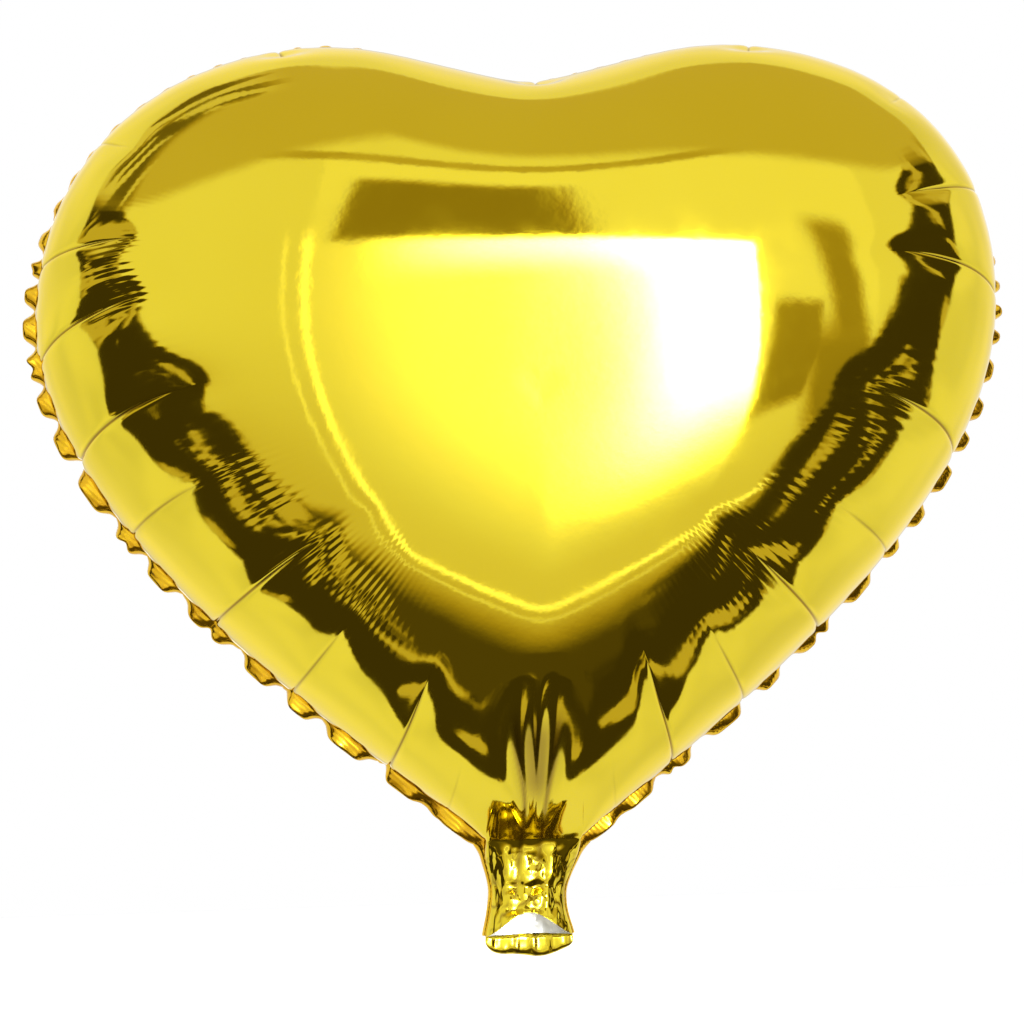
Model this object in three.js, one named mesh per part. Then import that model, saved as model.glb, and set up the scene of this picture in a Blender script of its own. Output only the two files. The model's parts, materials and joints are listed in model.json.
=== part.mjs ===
// Heart-shaped foil balloon, inflated: two sheets of metallised film heat-sealed round their edge, with a
// filling neck at the tip and a self-sealing valve of two thin films inside.
// Units are millimetres, +Z is up, the front faces -Y. The origin is at the root of the neck, where a
// ribbon is tied and where the neck creases when it is folded.
import * as THREE from 'three';

// Driving dimensions
const WELD_HALF_WIDTH = 189; // from the middle plane to the weld line at its widest
const WIDEST_Z = 209;
const LOBE_X = 77; // the top of a lobe
const LOBE_Z = 315;
const CLEFT_Z = 299;
const ROOT_HALF_WIDTH = 19; // gas passage where the heart meets the neck
const ROOT_Z = 4.2;
const PANEL_DEPTH = 80; // how far each side swells out of the seam plane
const CROWN_Z = 175; // the point of the panels that swells most
const CROWN_FLAT = 0.06; // share of the way to the outline that stays flat, for a glue dot
const WALL = 0.8; // stands in for a film of 0.03 mm
const GAP = 0.3;
const FLANGE_WIDTH = 5;
const FLANGE_OVERLAP = 1.2; // how far the flange reaches in under the panels' edges
const FLANGE_HALF_THICKNESS = 0.5;
const NECK_SEAM_WIDTH = 3;
const FILM_HALF_WIDTH = 14;
const FILM_BOTTOM_Z = 8;
const FILM_LENGTH = 90;
const FILM_THICKNESS = 0.6;
const FILM_HALF_GAP = 0.2;

// The neck's half width, half depth and height, from its root to the lip of its mouth
const NECK_STATIONS = [
  [18.5, 5, -3],
  [15, 6, -10],
  [12.6, 6.5, -18],
  [15.2, 8, -29],
  [15, 9.5, -36],
  [13.4, 10, -43],
];

// How finely the surfaces are divided
const OUTLINE_SEGMENTS = 30; // on each half of the heart
const ROOT_SEGMENTS = 6;
const PANEL_RINGS = 11;
const HARMONICS = 16; // terms of the soap film that gives the panels their swell
const NECK_RINGS = 12;
const NECK_SEGMENTS = 12;

const SEAM_FACE = FLANGE_HALF_THICKNESS + GAP; // distance of a panel's edge from the seam plane

const material = (color, roughness, metalness) =>
  new THREE.MeshStandardMaterial({ color, roughness, metalness });
const goldFoil = material(0xe6cf2a, 0.12, 1);
const goldSeam = material(0xc79a16, 0.2, 1);
const clearFilm = material(0xd9dcd6, 0.25, 0);

// Gathers vertices and triangles. A quad is split into two triangles, and flip turns every face round.
class Body {
  constructor(flip = false) {
    this.flip = flip;
    this.positions = [];
    this.indices = [];
  }

  vertex([x, y, z]) {
    this.positions.push(x, y, z);
    return this.positions.length / 3 - 1;
  }

  triangle(a, b, c) {
    this.indices.push(...(this.flip ? [a, c, b] : [a, b, c]));
  }

  quad(a, b, c, d) {
    this.triangle(a, b, c);
    this.triangle(a, c, d);
  }

  mesh(name, finish) {
    const geometry = new THREE.BufferGeometry();
    geometry.setAttribute('position', new THREE.Float32BufferAttribute(this.positions, 3));
    geometry.setIndex(this.indices);
    geometry.computeVertexNormals();
    const made = new THREE.Mesh(geometry, finish);
    made.name = name;
    return made;
  }
}

// Right half of the weld line, from the cleft over the lobe and down the side to the root of the neck.
function halfOutline() {
  const at = (x, z) => new THREE.Vector2(x, z);
  const half = new THREE.CurvePath();
  const lobe = at(LOBE_X, LOBE_Z);
  const widest = at(WELD_HALF_WIDTH, WIDEST_Z);
  const root = at(ROOT_HALF_WIDTH, ROOT_Z);
  half.add(new THREE.CubicBezierCurve(at(0, CLEFT_Z), at(20, CLEFT_Z + 2), at(52, LOBE_Z), lobe));
  half.add(new THREE.CubicBezierCurve(lobe, at(120, LOBE_Z), at(WELD_HALF_WIDTH, 292), widest));
  half.add(new THREE.CubicBezierCurve(widest, at(WELD_HALF_WIDTH, 121), at(45, 27), root));
  return half.getSpacedPoints(OUTLINE_SEGMENTS);
}

const mirrored = (points) => points.map((p) => new THREE.Vector2(-p.x, p.y)).reverse();
const RIGHT = halfOutline();

// The edge of a panel: the weld line, then straight across the root of the neck, where the panel stands
// off the seam plane by half an ellipse.
function panelEdge() {
  const edge = [...mirrored(RIGHT).slice(0, -1), ...RIGHT].map((p) => ({ x: p.x, z: p.y, rise: 0 }));
  for (let i = 1; i < ROOT_SEGMENTS; i++) {
    const angle = (Math.PI * i) / ROOT_SEGMENTS;
    edge.push({
      x: ROOT_HALF_WIDTH * Math.cos(angle),
      z: ROOT_Z,
      rise: NECK_STATIONS[0][1] * Math.sin(angle),
    });
  }
  return edge;
}

// Real parts of the powers of the complex number (z - CROWN_Z) + ix. Each one is a soap film without
// load, and the same left and right.
function harmonics(x, z) {
  const a = (z - CROWN_Z) / WELD_HALF_WIDTH;
  const b = x / WELD_HALF_WIDTH;
  const values = [];
  let [re, im] = [1, 0];
  for (let power = 0; power < HARMONICS; power++) {
    values.push(re);
    [re, im] = [re * a - im * b, re * b + im * a];
  }
  return values;
}

// Solves matrix * x = right, for a small full matrix, by elimination with the largest pivot.
function solve(matrix, right) {
  const rows = matrix.map((row, i) => [...row, right[i]]);
  const n = rows.length;
  for (let k = 0; k < n; k++) {
    const pivot = rows.slice(k).reduce((best, row) => (Math.abs(row[k]) > Math.abs(best[k]) ? row : best));
    rows.splice(rows.indexOf(pivot), 1);
    rows.splice(k, 0, pivot);
    for (let i = k + 1; i < n; i++) {
      const share = rows[i][k] / pivot[k];
      rows[i] = rows[i].map((value, j) => value - share * pivot[j]);
    }
  }
  const x = new Array(n).fill(0);
  for (let k = n - 1; k >= 0; k--) {
    const known = x.reduce((sum, value, j) => sum + (j > k ? rows[k][j] * value : 0), 0);
    x[k] = (rows[k][n] - known) / rows[k][k];
  }
  return x;
}

// How far a soap film over the weld line sags under an even load: minus a quarter of the distance to the
// crown squared, plus the harmonics that bring it to nothing along the edge, by least squares.
function soapFilm(edge) {
  const load = (x, z) => (x * x + (z - CROWN_Z) ** 2) / 4;
  const rows = edge.map((p) => harmonics(p.x, p.z));
  const total = (f) => edge.reduce((sum, p, i) => sum + f(p, rows[i]), 0);
  const orders = [...Array(HARMONICS).keys()];
  const matrix = orders.map((j) => orders.map((k) => total((p, row) => row[j] * row[k])));
  const weights = solve(matrix, orders.map((j) => total((p, row) => row[j] * load(p.x, p.z))));
  return (x, z) => harmonics(x, z).reduce((sum, value, k) => sum + weights[k] * value, -load(x, z));
}

// Height of an inflated film, from 0 at the edge to 1 at the crown, for a share of the soap film's sag.
// On a round balloon this is the profile of two sheets that fold but don't stretch.
const swell = (share) => (1 - Math.min(Math.max(1 - share, 0), 1) ** 1.5) ** 0.52;

// A dished panel: an outer and an inner skin of rings from the crown to the edge, joined at the edge.
function panel(name, side) {
  const body = new Body(side < 0);
  const edge = panelEdge();
  const sag = soapFilm(edge);
  const leftOver = edge.map((p) => sag(p.x, p.z));
  const skin = (inset) => {
    const rings = [[body.vertex([0, side * (SEAM_FACE + PANEL_DEPTH - inset), CROWN_Z])]];
    for (let ring = 1; ring <= PANEL_RINGS; ring++) {
      const v = ring === 1 ? CROWN_FLAT : Math.sin((Math.PI / 2) * (ring / PANEL_RINGS));
      rings.push(
        edge.map((p, i) => {
          const reach = Math.hypot(p.x, p.z - CROWN_Z);
          const pull = p.rise > 0 ? 1 : 1 - inset / reach;
          const rise = Math.max(p.rise - inset, 0) * v ** 6;
          const x = (p.rise > 0 ? p.x * (1 - inset / ROOT_HALF_WIDTH) : p.x * pull) * v;
          const z = CROWN_Z + (p.z - CROWN_Z) * pull * v;
          const [fullX, fullZ] = [p.x * v, CROWN_Z + (p.z - CROWN_Z) * v];
          const share = (sag(fullX, fullZ) - leftOver[i] * v ** 8) / sag(0, CROWN_Z);
          const height = (PANEL_DEPTH - inset) * (ring === 1 ? 1 : swell(share));
          return body.vertex([x, side * (SEAM_FACE + Math.hypot(height, rise)), z]);
        }),
      );
    }
    return rings;
  };
  const outer = skin(0);
  const inner = skin(WALL);
  const next = (i) => (i + 1) % edge.length;
  edge.forEach((_, i) => {
    body.triangle(outer[0][0], outer[1][i], outer[1][next(i)]);
    body.triangle(inner[0][0], inner[1][next(i)], inner[1][i]);
    for (let ring = 1; ring < PANEL_RINGS; ring++) {
      body.quad(outer[ring][i], outer[ring + 1][i], outer[ring + 1][next(i)], outer[ring][next(i)]);
      body.quad(inner[ring][i], inner[ring][next(i)], inner[ring + 1][next(i)], inner[ring + 1][i]);
    }
    const [last, lastInner] = [outer[PANEL_RINGS], inner[PANEL_RINGS]];
    body.quad(last[i], lastInner[i], lastInner[next(i)], last[next(i)]);
  });
  return body.mesh(name, goldFoil);
}

// A closed bar through stations of four corners each, with both ends capped.
function bar(name, stations, finish, flip) {
  const body = new Body(flip);
  const rows = stations.map((corners) => corners.map((corner) => body.vertex(corner)));
  for (let i = 1; i < rows.length; i++) {
    for (let k = 0; k < 4; k++) {
      const m = (k + 1) % 4;
      body.quad(rows[i - 1][k], rows[i - 1][m], rows[i][m], rows[i][k]);
    }
  }
  body.quad(...rows[0].slice().reverse());
  body.quad(...rows[rows.length - 1]);
  return body.mesh(name, finish);
}

// The heat-sealed band: a flat strip along the weld line, from one side of the neck round to the other.
function seamFlange() {
  const line = [...mirrored(RIGHT).slice(0, -1), ...RIGHT];
  const stations = line.map((p, i) => {
    const before = line[Math.max(i - 1, 0)];
    const after = line[Math.min(i + 1, line.length - 1)];
    const along = after.clone().sub(before).normalize();
    const out = new THREE.Vector2(-along.y, along.x);
    const inside = p.clone().addScaledVector(out, -FLANGE_OVERLAP);
    const outside = p.clone().addScaledVector(out, FLANGE_WIDTH);
    const t = FLANGE_HALF_THICKNESS;
    return [
      [inside.x, -t, inside.y],
      [outside.x, -t, outside.y],
      [outside.x, t, outside.y],
      [inside.x, t, inside.y],
    ];
  });
  return bar('seam_flange', stations, goldSeam, true);
}

// The neck's half width, half depth and height at even steps from its root to its mouth.
function neckSections() {
  const points = NECK_STATIONS.map((station) => new THREE.Vector3(...station));
  return new THREE.CatmullRomCurve3(points).getSpacedPoints(NECK_RINGS);
}

// One half of the neck: half an ellipse carried down the neck, as an outer and an inner skin.
function neckHalf(name, side) {
  const body = new Body(side > 0);
  const skin = (inset) =>
    neckSections().map((s) =>
      Array.from({ length: NECK_SEGMENTS + 1 }, (_, i) => {
        const angle = (Math.PI * i) / NECK_SEGMENTS;
        const x = (s.x - inset) * Math.cos(angle);
        const y = side * (SEAM_FACE + (s.y - inset) * Math.sin(angle));
        return body.vertex([x, y, s.z]);
      }),
    );
  const outer = skin(0);
  const inner = skin(WALL);
  const last = outer.length - 1;
  for (let i = 0; i < NECK_SEGMENTS; i++) {
    for (let k = 0; k < last; k++) {
      body.quad(outer[k][i], outer[k][i + 1], outer[k + 1][i + 1], outer[k + 1][i]);
      body.quad(inner[k][i], inner[k + 1][i], inner[k + 1][i + 1], inner[k][i + 1]);
    }
    body.quad(outer[0][i], inner[0][i], inner[0][i + 1], outer[0][i + 1]);
    body.quad(outer[last][i], outer[last][i + 1], inner[last][i + 1], inner[last][i]);
  }
  for (const i of [0, NECK_SEGMENTS]) {
    for (let k = 0; k < last; k++) {
      const corners = [outer[k][i], outer[k + 1][i], inner[k + 1][i], inner[k][i]];
      body.quad(...(i === 0 ? corners : corners.reverse()));
    }
  }
  return body.mesh(name, goldFoil);
}

// The fused band down one side of the neck.
function neckSeam(name, side) {
  const t = FLANGE_HALF_THICKNESS;
  const stations = neckSections().map((s) => {
    const inside = side * (s.x - FLANGE_OVERLAP);
    const outside = side * (s.x + NECK_SEAM_WIDTH);
    return [
      [inside, -t, s.z],
      [outside, -t, s.z],
      [outside, t, s.z],
      [inside, t, s.z],
    ];
  });
  return bar(name, stations, goldSeam, side > 0);
}

// One film of the valve: a flat strip with rounded upper corners that stands on the root of the neck.
function valveFilm(name, side) {
  const corner = 6;
  const strip = new THREE.Shape();
  strip.moveTo(-FILM_HALF_WIDTH, 0);
  strip.lineTo(FILM_HALF_WIDTH, 0);
  strip.lineTo(FILM_HALF_WIDTH, FILM_LENGTH - corner);
  strip.absarc(FILM_HALF_WIDTH - corner, FILM_LENGTH - corner, corner, 0, Math.PI / 2);
  strip.lineTo(corner - FILM_HALF_WIDTH, FILM_LENGTH);
  strip.absarc(corner - FILM_HALF_WIDTH, FILM_LENGTH - corner, corner, Math.PI / 2, Math.PI);
  strip.closePath();
  const geometry = new THREE.ExtrudeGeometry(strip, {
    depth: FILM_THICKNESS,
    bevelEnabled: false,
    curveSegments: 4,
  });
  const film = new THREE.Mesh(geometry, clearFilm);
  film.name = name;
  film.rotation.x = Math.PI / 2; // the strip's length along +Z, its thickness towards -Y
  film.position.y = side > 0 ? FILM_HALF_GAP + FILM_THICKNESS : -FILM_HALF_GAP;
  film.position.z = FILM_BOTTOM_Z;
  return film;
}

const balloon = new THREE.Group();
balloon.add(panel('front_panel', -1));
balloon.add(panel('back_panel', 1));
balloon.add(seamFlange());

const neck = new THREE.Group();
neck.add(neckHalf('neck_front', -1));
neck.add(neckHalf('neck_back', 1));
neck.add(neckSeam('neck_left_seam', -1));
neck.add(neckSeam('neck_right_seam', 1));
balloon.add(neck);

const valve = new THREE.Group();
valve.add(valveFilm('valve_front_film', -1));
valve.add(valveFilm('valve_back_film', 1));
balloon.add(valve);

export default balloon;
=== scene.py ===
"""A heart-shaped foil balloon: two heat-sealed sheets of gold film, with a filling neck and a film valve."""
import json
import math

import bpy
import numpy as np
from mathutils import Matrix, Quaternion, Vector


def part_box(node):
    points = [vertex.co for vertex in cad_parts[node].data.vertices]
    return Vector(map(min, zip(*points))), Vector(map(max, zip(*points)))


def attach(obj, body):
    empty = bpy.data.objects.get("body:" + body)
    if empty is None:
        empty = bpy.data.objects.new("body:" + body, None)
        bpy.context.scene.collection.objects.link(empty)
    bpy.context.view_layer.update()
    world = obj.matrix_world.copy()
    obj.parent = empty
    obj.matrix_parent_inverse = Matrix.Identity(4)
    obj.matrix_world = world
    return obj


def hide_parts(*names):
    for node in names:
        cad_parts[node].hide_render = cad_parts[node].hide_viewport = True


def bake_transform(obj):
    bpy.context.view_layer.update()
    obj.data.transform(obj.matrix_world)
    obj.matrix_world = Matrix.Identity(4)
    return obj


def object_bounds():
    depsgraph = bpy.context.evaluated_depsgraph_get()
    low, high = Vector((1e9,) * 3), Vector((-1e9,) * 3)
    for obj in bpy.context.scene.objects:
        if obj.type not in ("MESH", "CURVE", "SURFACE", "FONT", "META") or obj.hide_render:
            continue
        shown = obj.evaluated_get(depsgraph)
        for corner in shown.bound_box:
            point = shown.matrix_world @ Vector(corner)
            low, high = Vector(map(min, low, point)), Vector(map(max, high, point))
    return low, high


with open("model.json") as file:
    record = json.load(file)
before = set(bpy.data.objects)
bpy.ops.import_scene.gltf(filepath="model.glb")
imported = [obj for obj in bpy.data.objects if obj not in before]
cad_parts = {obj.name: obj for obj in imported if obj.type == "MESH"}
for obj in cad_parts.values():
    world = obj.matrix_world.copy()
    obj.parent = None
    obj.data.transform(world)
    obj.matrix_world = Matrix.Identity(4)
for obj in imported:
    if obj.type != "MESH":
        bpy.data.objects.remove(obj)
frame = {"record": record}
CAD_BOX = [list(corner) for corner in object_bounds()]
MM = 0.001

# ---------------------------------------------------------------- sizes, from the frame and in metres

PANEL_LOW, PANEL_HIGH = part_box("back_panel")
FLANGE_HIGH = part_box("seam_flange")[1]
CROWN = next(m["pos_m"] for m in frame["record"]["mounts"] if m["name"] == "back_glue_dot")

HALF_WIDTH = PANEL_HIGH.x
LOBE_Z = PANEL_HIGH.z
ROOT_Z = PANEL_LOW.z
ROOT_HALF_WIDTH = 19 * MM
DEPTH = PANEL_HIGH.y
CROWN_Z = CROWN[2]
FLANGE_WIDTH = FLANGE_HIGH.x - PANEL_HIGH.x
NECK_SEAM_WIDTH = 3 * MM

# How finely the sheets are divided
WELD_STEPS = 1500
ROOT_STEPS = 64
RINGS = 54
NECK_ROWS = 84

# The row of the neck that the lining goes up to, and how far inside the neck's skin it lies
LINING_START = 30
LINING_INSET = 0.22 * MM

# Terms of the soap film that gives the panels their swell
HARMONICS = 30

# ---------------------------------------------------------------- helpers for curves and noise


def smoothstep(low, high, x):
    """0 below low, 1 above high, and 3t^2 - 2t^3 between them."""
    t = np.clip((x - low) / (high - low), 0, 1)
    return t * t * (3 - 2 * t)


def bell(x, centre, width):
    """exp(-((x - centre) / width)^2)."""
    return np.exp(-(((x - centre) / width) ** 2))


def bezier(points, count):
    """Cubic Bezier curve through its Bernstein polynomials, without its last point."""
    t = np.linspace(0, 1, count, endpoint=False)[:, None]
    p = np.array(points, float)
    return (1 - t) ** 3 * p[0] + 3 * (1 - t) ** 2 * t * p[1] + 3 * (1 - t) * t * t * p[2] + t ** 3 * p[3]


def blurred(values, sigma):
    """Gaussian blur along axis 0 of an open curve, whose ends stay where they are."""
    reach = int(4 * sigma)
    kernel = np.exp(-0.5 * (np.arange(-reach, reach + 1) / sigma) ** 2)
    kernel /= kernel.sum()
    v = np.asarray(values, float)
    v2 = v.reshape(len(v), -1)
    head = 2 * v2[0] - v2[reach:0:-1]
    tail = 2 * v2[-1] - v2[-2:-reach - 2:-1]
    padded = np.concatenate([head, v2, tail])
    out = np.stack([np.convolve(column, kernel, "valid") for column in padded.T], 1)
    return out.reshape(v.shape)


def lengths(points):
    """Distance along a polyline to each of its points."""
    steps = np.linalg.norm(np.diff(points, axis=0), axis=1)
    return np.concatenate([[0.0], np.cumsum(steps)])


def evenly(points, count):
    """The polyline again, with count + 1 points at equal steps."""
    along = lengths(points)
    at = np.linspace(0, along[-1], count + 1)
    return np.stack([np.interp(at, along, column) for column in points.T], 1)


def profile(knots):
    """A smooth curve through (place, value) knots in mm: straight lines between them in steps of 0.1 mm,
    blurred over 25 of them."""
    knots = np.array(sorted(knots), float)
    step = 0.1
    place = np.arange(knots[0, 0], knots[-1, 0] + step / 2, step)
    value = blurred(np.interp(place, knots[:, 0], knots[:, 1]), 25)
    return lambda x: np.interp(x / MM, place, value) * MM


def wander(x, period, seed, terms=5):
    """A slow random curve from about -1 to 1: sines of the period and of its first fractions, at random
    phases."""
    rng = np.random.default_rng(seed)
    orders = np.arange(1, terms + 1)
    phases = rng.uniform(0, 2 * math.pi, terms)
    waves = np.sin(2 * math.pi * np.multiply.outer(x, orders) / period + phases)
    return (waves / np.sqrt(orders)).sum(-1) / np.sqrt((1 / orders).sum())


def lattice(x, y, seed, size=64):
    """Value noise from -1 to 1: random numbers on a square lattice, joined by smoothsteps."""
    table = np.random.default_rng(seed).uniform(-1, 1, (size, size))
    i, j = np.floor(x).astype(int), np.floor(y).astype(int)
    a, b = smoothstep(0, 1, x - i), smoothstep(0, 1, y - j)
    near = table[i % size, j % size] * (1 - a) + table[(i + 1) % size, j % size] * a
    far = table[i % size, (j + 1) % size] * (1 - a) + table[(i + 1) % size, (j + 1) % size] * a
    return near * (1 - b) + far * b


# ---------------------------------------------------------------- the weld line


# Long creases: share of the weld line, reach inwards along the film in mm, depth in mm
LONG_CREASES = (
    (0.018, 40, 1.6), (0.045, 66, 2.4), (0.090, 60, 1.8), (0.128, 78, 2.8), (0.172, 62, 1.8),
    (0.205, 76, 2.8), (0.244, 64, 2.2), (0.279, 60, 1.8), (0.330, 34, 0.9), (0.406, 22, 2.2),
    (0.503, 26, 2.8), (0.586, 22, 2.2), (0.648, 30, 0.9), (0.696, 60, 1.8), (0.737, 72, 2.4),
    (0.800, 76, 2.6), (0.845, 60, 1.6), (0.883, 78, 2.8), (0.922, 62, 1.8), (0.957, 72, 2.4),
    (0.985, 40, 1.5),
)


def weld_line():
    """The heart's weld line as (x, z), from the left of the neck's root over both lobes to its right: three
    Bezier curves on each side, evened out by arc length and blurred so that curvature has no jumps. Its
    points are up to 3.4 times as close together within about 3 mm of a long crease."""
    cleft, lobe = (0, 299 * MM), (77 * MM, LOBE_Z)
    widest, root = (HALF_WIDTH, 209 * MM), (ROOT_HALF_WIDTH, ROOT_Z)
    right = np.concatenate([
        bezier([cleft, (20 * MM, 301 * MM), (52 * MM, LOBE_Z), lobe], 400),
        bezier([lobe, (120 * MM, LOBE_Z), (HALF_WIDTH, 292 * MM), widest], 400),
        bezier([widest, (HALF_WIDTH, 121 * MM), (45 * MM, 27 * MM), root], 500),
        [root],
    ])
    left = right[:0:-1] * [-1, 1]
    fine = 4 * WELD_STEPS
    line = blurred(evenly(np.concatenate([left, right]), fine), 40)
    along = lengths(line)
    share = along / along[-1]
    density = np.ones(fine + 1)
    for place, *_ in LONG_CREASES:
        density += 2.4 * bell(share, place, 3 * MM / along[-1])
    count = np.concatenate([[0.0], np.cumsum((density[1:] + density[:-1]) / 2)])
    at = np.interp(np.linspace(0, count[-1], WELD_STEPS + 1), count, along)
    return np.stack([np.interp(at, along, column) for column in line.T], 1)


WELD = weld_line()
WELD_S = lengths(WELD)
WELD_LENGTH = WELD_S[-1]
WELD_T = WELD_S / WELD_LENGTH


def outward(line):
    """Unit normals of a line in the (x, z) plane, on its left when it runs clockwise seen from the front."""
    along = np.gradient(line, axis=0)
    along /= np.linalg.norm(along, axis=1, keepdims=True)
    return np.stack([-along[:, 1], along[:, 0]], 1)


WELD_OUT = outward(WELD)

# ---------------------------------------------------------------- creases round the rim

# Share of the weld line and how far from it, along the film, the fine ripples lie in mm
RIM_BORDER = (
    (0.0, 70), (0.1, 84), (0.2, 80), (0.27, 62), (0.4, 45),
    (0.6, 45), (0.73, 62), (0.8, 80), (0.9, 84), (1.0, 70),
)

# Share of the weld line and the distance there between two puckers in mm
PUCKER_STEP = (
    (0.0, 26), (0.14, 26), (0.21, 17), (0.27, 12), (0.5, 10), (0.73, 12), (0.79, 17), (0.86, 24), (1.0, 26),
)


def pucker_places():
    """Places of the short puckers along the weld line, as shares of it: each one PUCKER_STEP on from the
    last, and jittered by a quarter of that."""
    rng = np.random.default_rng(11)
    shares, steps = np.array(PUCKER_STEP).T
    first, last = 0.004, 0.985
    places = [first]
    while places[-1] < last:
        step = np.interp(places[-1], shares, steps) * MM * rng.uniform(0.75, 1.25)
        places.append(places[-1] + step / WELD_LENGTH)
    return np.array(places)


PUCKERS = pucker_places()


def leaf(t):
    """How full the seam is between two puckers: the sine of the share of the way between them, to the
    power 0.8, so it is 0 at a pucker and rises steeply from it."""
    i = np.clip(np.searchsorted(PUCKERS, t) - 1, 0, len(PUCKERS) - 2)
    share = (t - PUCKERS[i]) / (PUCKERS[i + 1] - PUCKERS[i])
    return np.sin(math.pi * np.clip(share, 0, 1)) ** 0.8


def pulled_in():
    """How far the seam is drawn in along the weld line: 0.9 mm at a pucker, and 0.9 of its depth more at
    a long crease."""
    pull = 0.9 * MM * (1 - LEAF) ** 3 * SIDES
    for place, _, deep in LONG_CREASES:
        pull += 0.9 * deep * MM * bell(WELD_T, place, 2.2 * MM / WELD_LENGTH) * SIDES
    return pull


# Along the weld line: how full the seam is, 1 away from the neck's root, 1 on top of the lobes, how far the
# seam is drawn in, and how far it waves backwards
LEAF = leaf(WELD_T)
SIDES = smoothstep(0.0, 0.05, WELD_T) * smoothstep(0.0, 0.05, 1 - WELD_T)
TOP = smoothstep(0.26, 0.33, WELD_T) * smoothstep(0.26, 0.33, 1 - WELD_T)
PULL_IN = pulled_in()
WAVE = 0.7 * MM * wander(WELD_T, 0.11, 3) * SIDES

# How far inwards the creases keep their slant, and the share of the weld line where they slant most
LEAN_REACH = 60 * MM
LEAN_PLACE = 0.24


def slant(t):
    """How far a crease runs along the seam for each step inwards: towards the lobes at the widest places,
    square to the seam elsewhere."""
    return bell(t, LEAN_PLACE, 0.07) - bell(t, 1 - LEAN_PLACE, 0.07)


# ---------------------------------------------------------------- the swollen sheets


def panel_edge():
    """The closed edge of a panel as (x, z), and how far the neck's half ellipse stands off the seam plane."""
    angle = np.linspace(0, math.pi, ROOT_STEPS + 1)[1:-1]
    root = np.stack([ROOT_HALF_WIDTH * np.cos(angle), np.full(len(angle), ROOT_Z)], 1)
    edge = np.concatenate([WELD, root])
    rise = np.concatenate([np.zeros(len(WELD)), np.sin(angle)])
    return edge, rise


def soap_film():
    """How far a soap film over the heart and the top of its neck sags under an even load, as a function of
    (x, z): minus a quarter of the squared distance to the crown, plus the real parts of the powers of
    (z - CROWN_Z) + ix that bring it to nothing along the edge, by least squares."""
    root, end = np.array([ROOT_HALF_WIDTH, ROOT_Z]), np.array([13 * MM, -16 * MM])
    side = root + np.linspace(0, 1, 60)[1:, None] * (end - root)
    bottom = np.stack([np.linspace(-end[0], end[0], 40), np.full(40, end[1])], 1)
    edge = np.concatenate([WELD[::3], side, side * [-1, 1], bottom])

    def terms(x, z):
        point = ((z - CROWN_Z) + 1j * x) / HALF_WIDTH
        return np.real(point[..., None] ** np.arange(HARMONICS))

    def load(x, z):
        return (x ** 2 + (z - CROWN_Z) ** 2) / 4

    x, z = edge[:, 0], edge[:, 1]
    weights = np.linalg.lstsq(terms(x, z), load(x, z), rcond=None)[0]
    return lambda x, z: terms(x, z) @ weights - load(x, z)


def leaning(points):
    """The points with the lobes leaning 4 mm to the right, and the neck 3 mm to the left and 9 mm forwards,
    by smoothsteps of height."""
    z = points[..., 2]
    points[..., 1] -= 9 * MM * smoothstep(2 * MM, -44 * MM, z)
    points[..., 0] += 4 * MM * smoothstep(190 * MM, 300 * MM, z)
    points[..., 0] -= 3 * MM * smoothstep(10 * MM, -26 * MM, z)
    return points


def unit_normals(points):
    """Unit normals of a grid of points that is closed along axis 1: the cross product of its two steps."""
    across = np.gradient(points, axis=0)
    around = (np.roll(points, -1, 1) - np.roll(points, 1, 1)) / 2
    n = np.cross(across, around)
    return n / np.maximum(np.linalg.norm(n, axis=2, keepdims=True), 1e-12)


def crease_field(t, inward, side):
    """Height of the creases, in metres, at share t of the weld line and distance inward from it along the
    film. A long crease is a sharp groove, 1 mm wide, and a broad hollow, 9 mm wide and near the groove's
    inner end, so the film swells like a pillow between two of them. A pucker is a cusp, 0.5 mm deep, that
    fades within 6 mm. The back's long creases are at random 0.7 to 1.1 times as long and deep. Returns the
    height and how creased the film is, from 0 to 1, which the foil's colour takes as painted shade: most on
    a groove that is 2.4 mm deep or more."""
    rng = np.random.default_rng(6)
    height = np.zeros(np.broadcast(t, inward).shape)
    crease_shade = np.zeros_like(height)
    for place, reach, deep in LONG_CREASES:
        scale = 1.0 if side < 0 else rng.uniform(0.7, 1.1)
        reach, deep = reach * MM * scale, deep * MM * scale
        off = (t - place) * WELD_LENGTH
        fade = 1 - smoothstep(0.75 * reach, 1.25 * reach, inward)
        groove = np.exp(-np.abs(off) / MM) * fade
        hollow = bell(off, 0, 9 * MM) * bell(inward, 0.92 * reach, 0.27 * reach)
        height -= deep * (0.42 * groove + 0.75 * hollow)
        # Painted shade: a dark line along each groove, darkest on the deepest grooves
        crease_shade = np.maximum(crease_shade, bell(off, 0, 0.55 * MM) * fade * min(deep / (2.4 * MM), 1))
    height -= 0.5 * MM * (1 - leaf(t)) * np.exp(-inward / (6 * MM))
    return height, crease_shade


def comb_field(t, inward, side):
    """Height of the fine ripples square to the seam, along the inner border of the rim: a sine every 3.8 mm,
    at four stretches of the rim, and strongest where the slow noise along the seam is high."""
    phase = 2 * math.pi * t * WELD_LENGTH / (3.8 * MM) + 2.2 * wander(t, 0.13, 21 + side)
    lower = bell(t, 0.13, 0.05) + bell(t, 0.87, 0.045)
    widest = bell(t, 0.25, 0.025) + bell(t, 0.80, 0.025)
    strength = (lower + 0.8 * widest) * (0.7 + 0.6 * wander(t, 0.09, 31 + side))
    places, borders = np.array(RIM_BORDER).T
    border = np.interp(t, places, borders) + 3 * wander(t, 0.2, 41 + side)
    band = bell(inward, border * MM, 14 * MM)
    return 0.11 * MM * np.clip(strength, 0.04, 1.35) * band * np.sin(phase)


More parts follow.
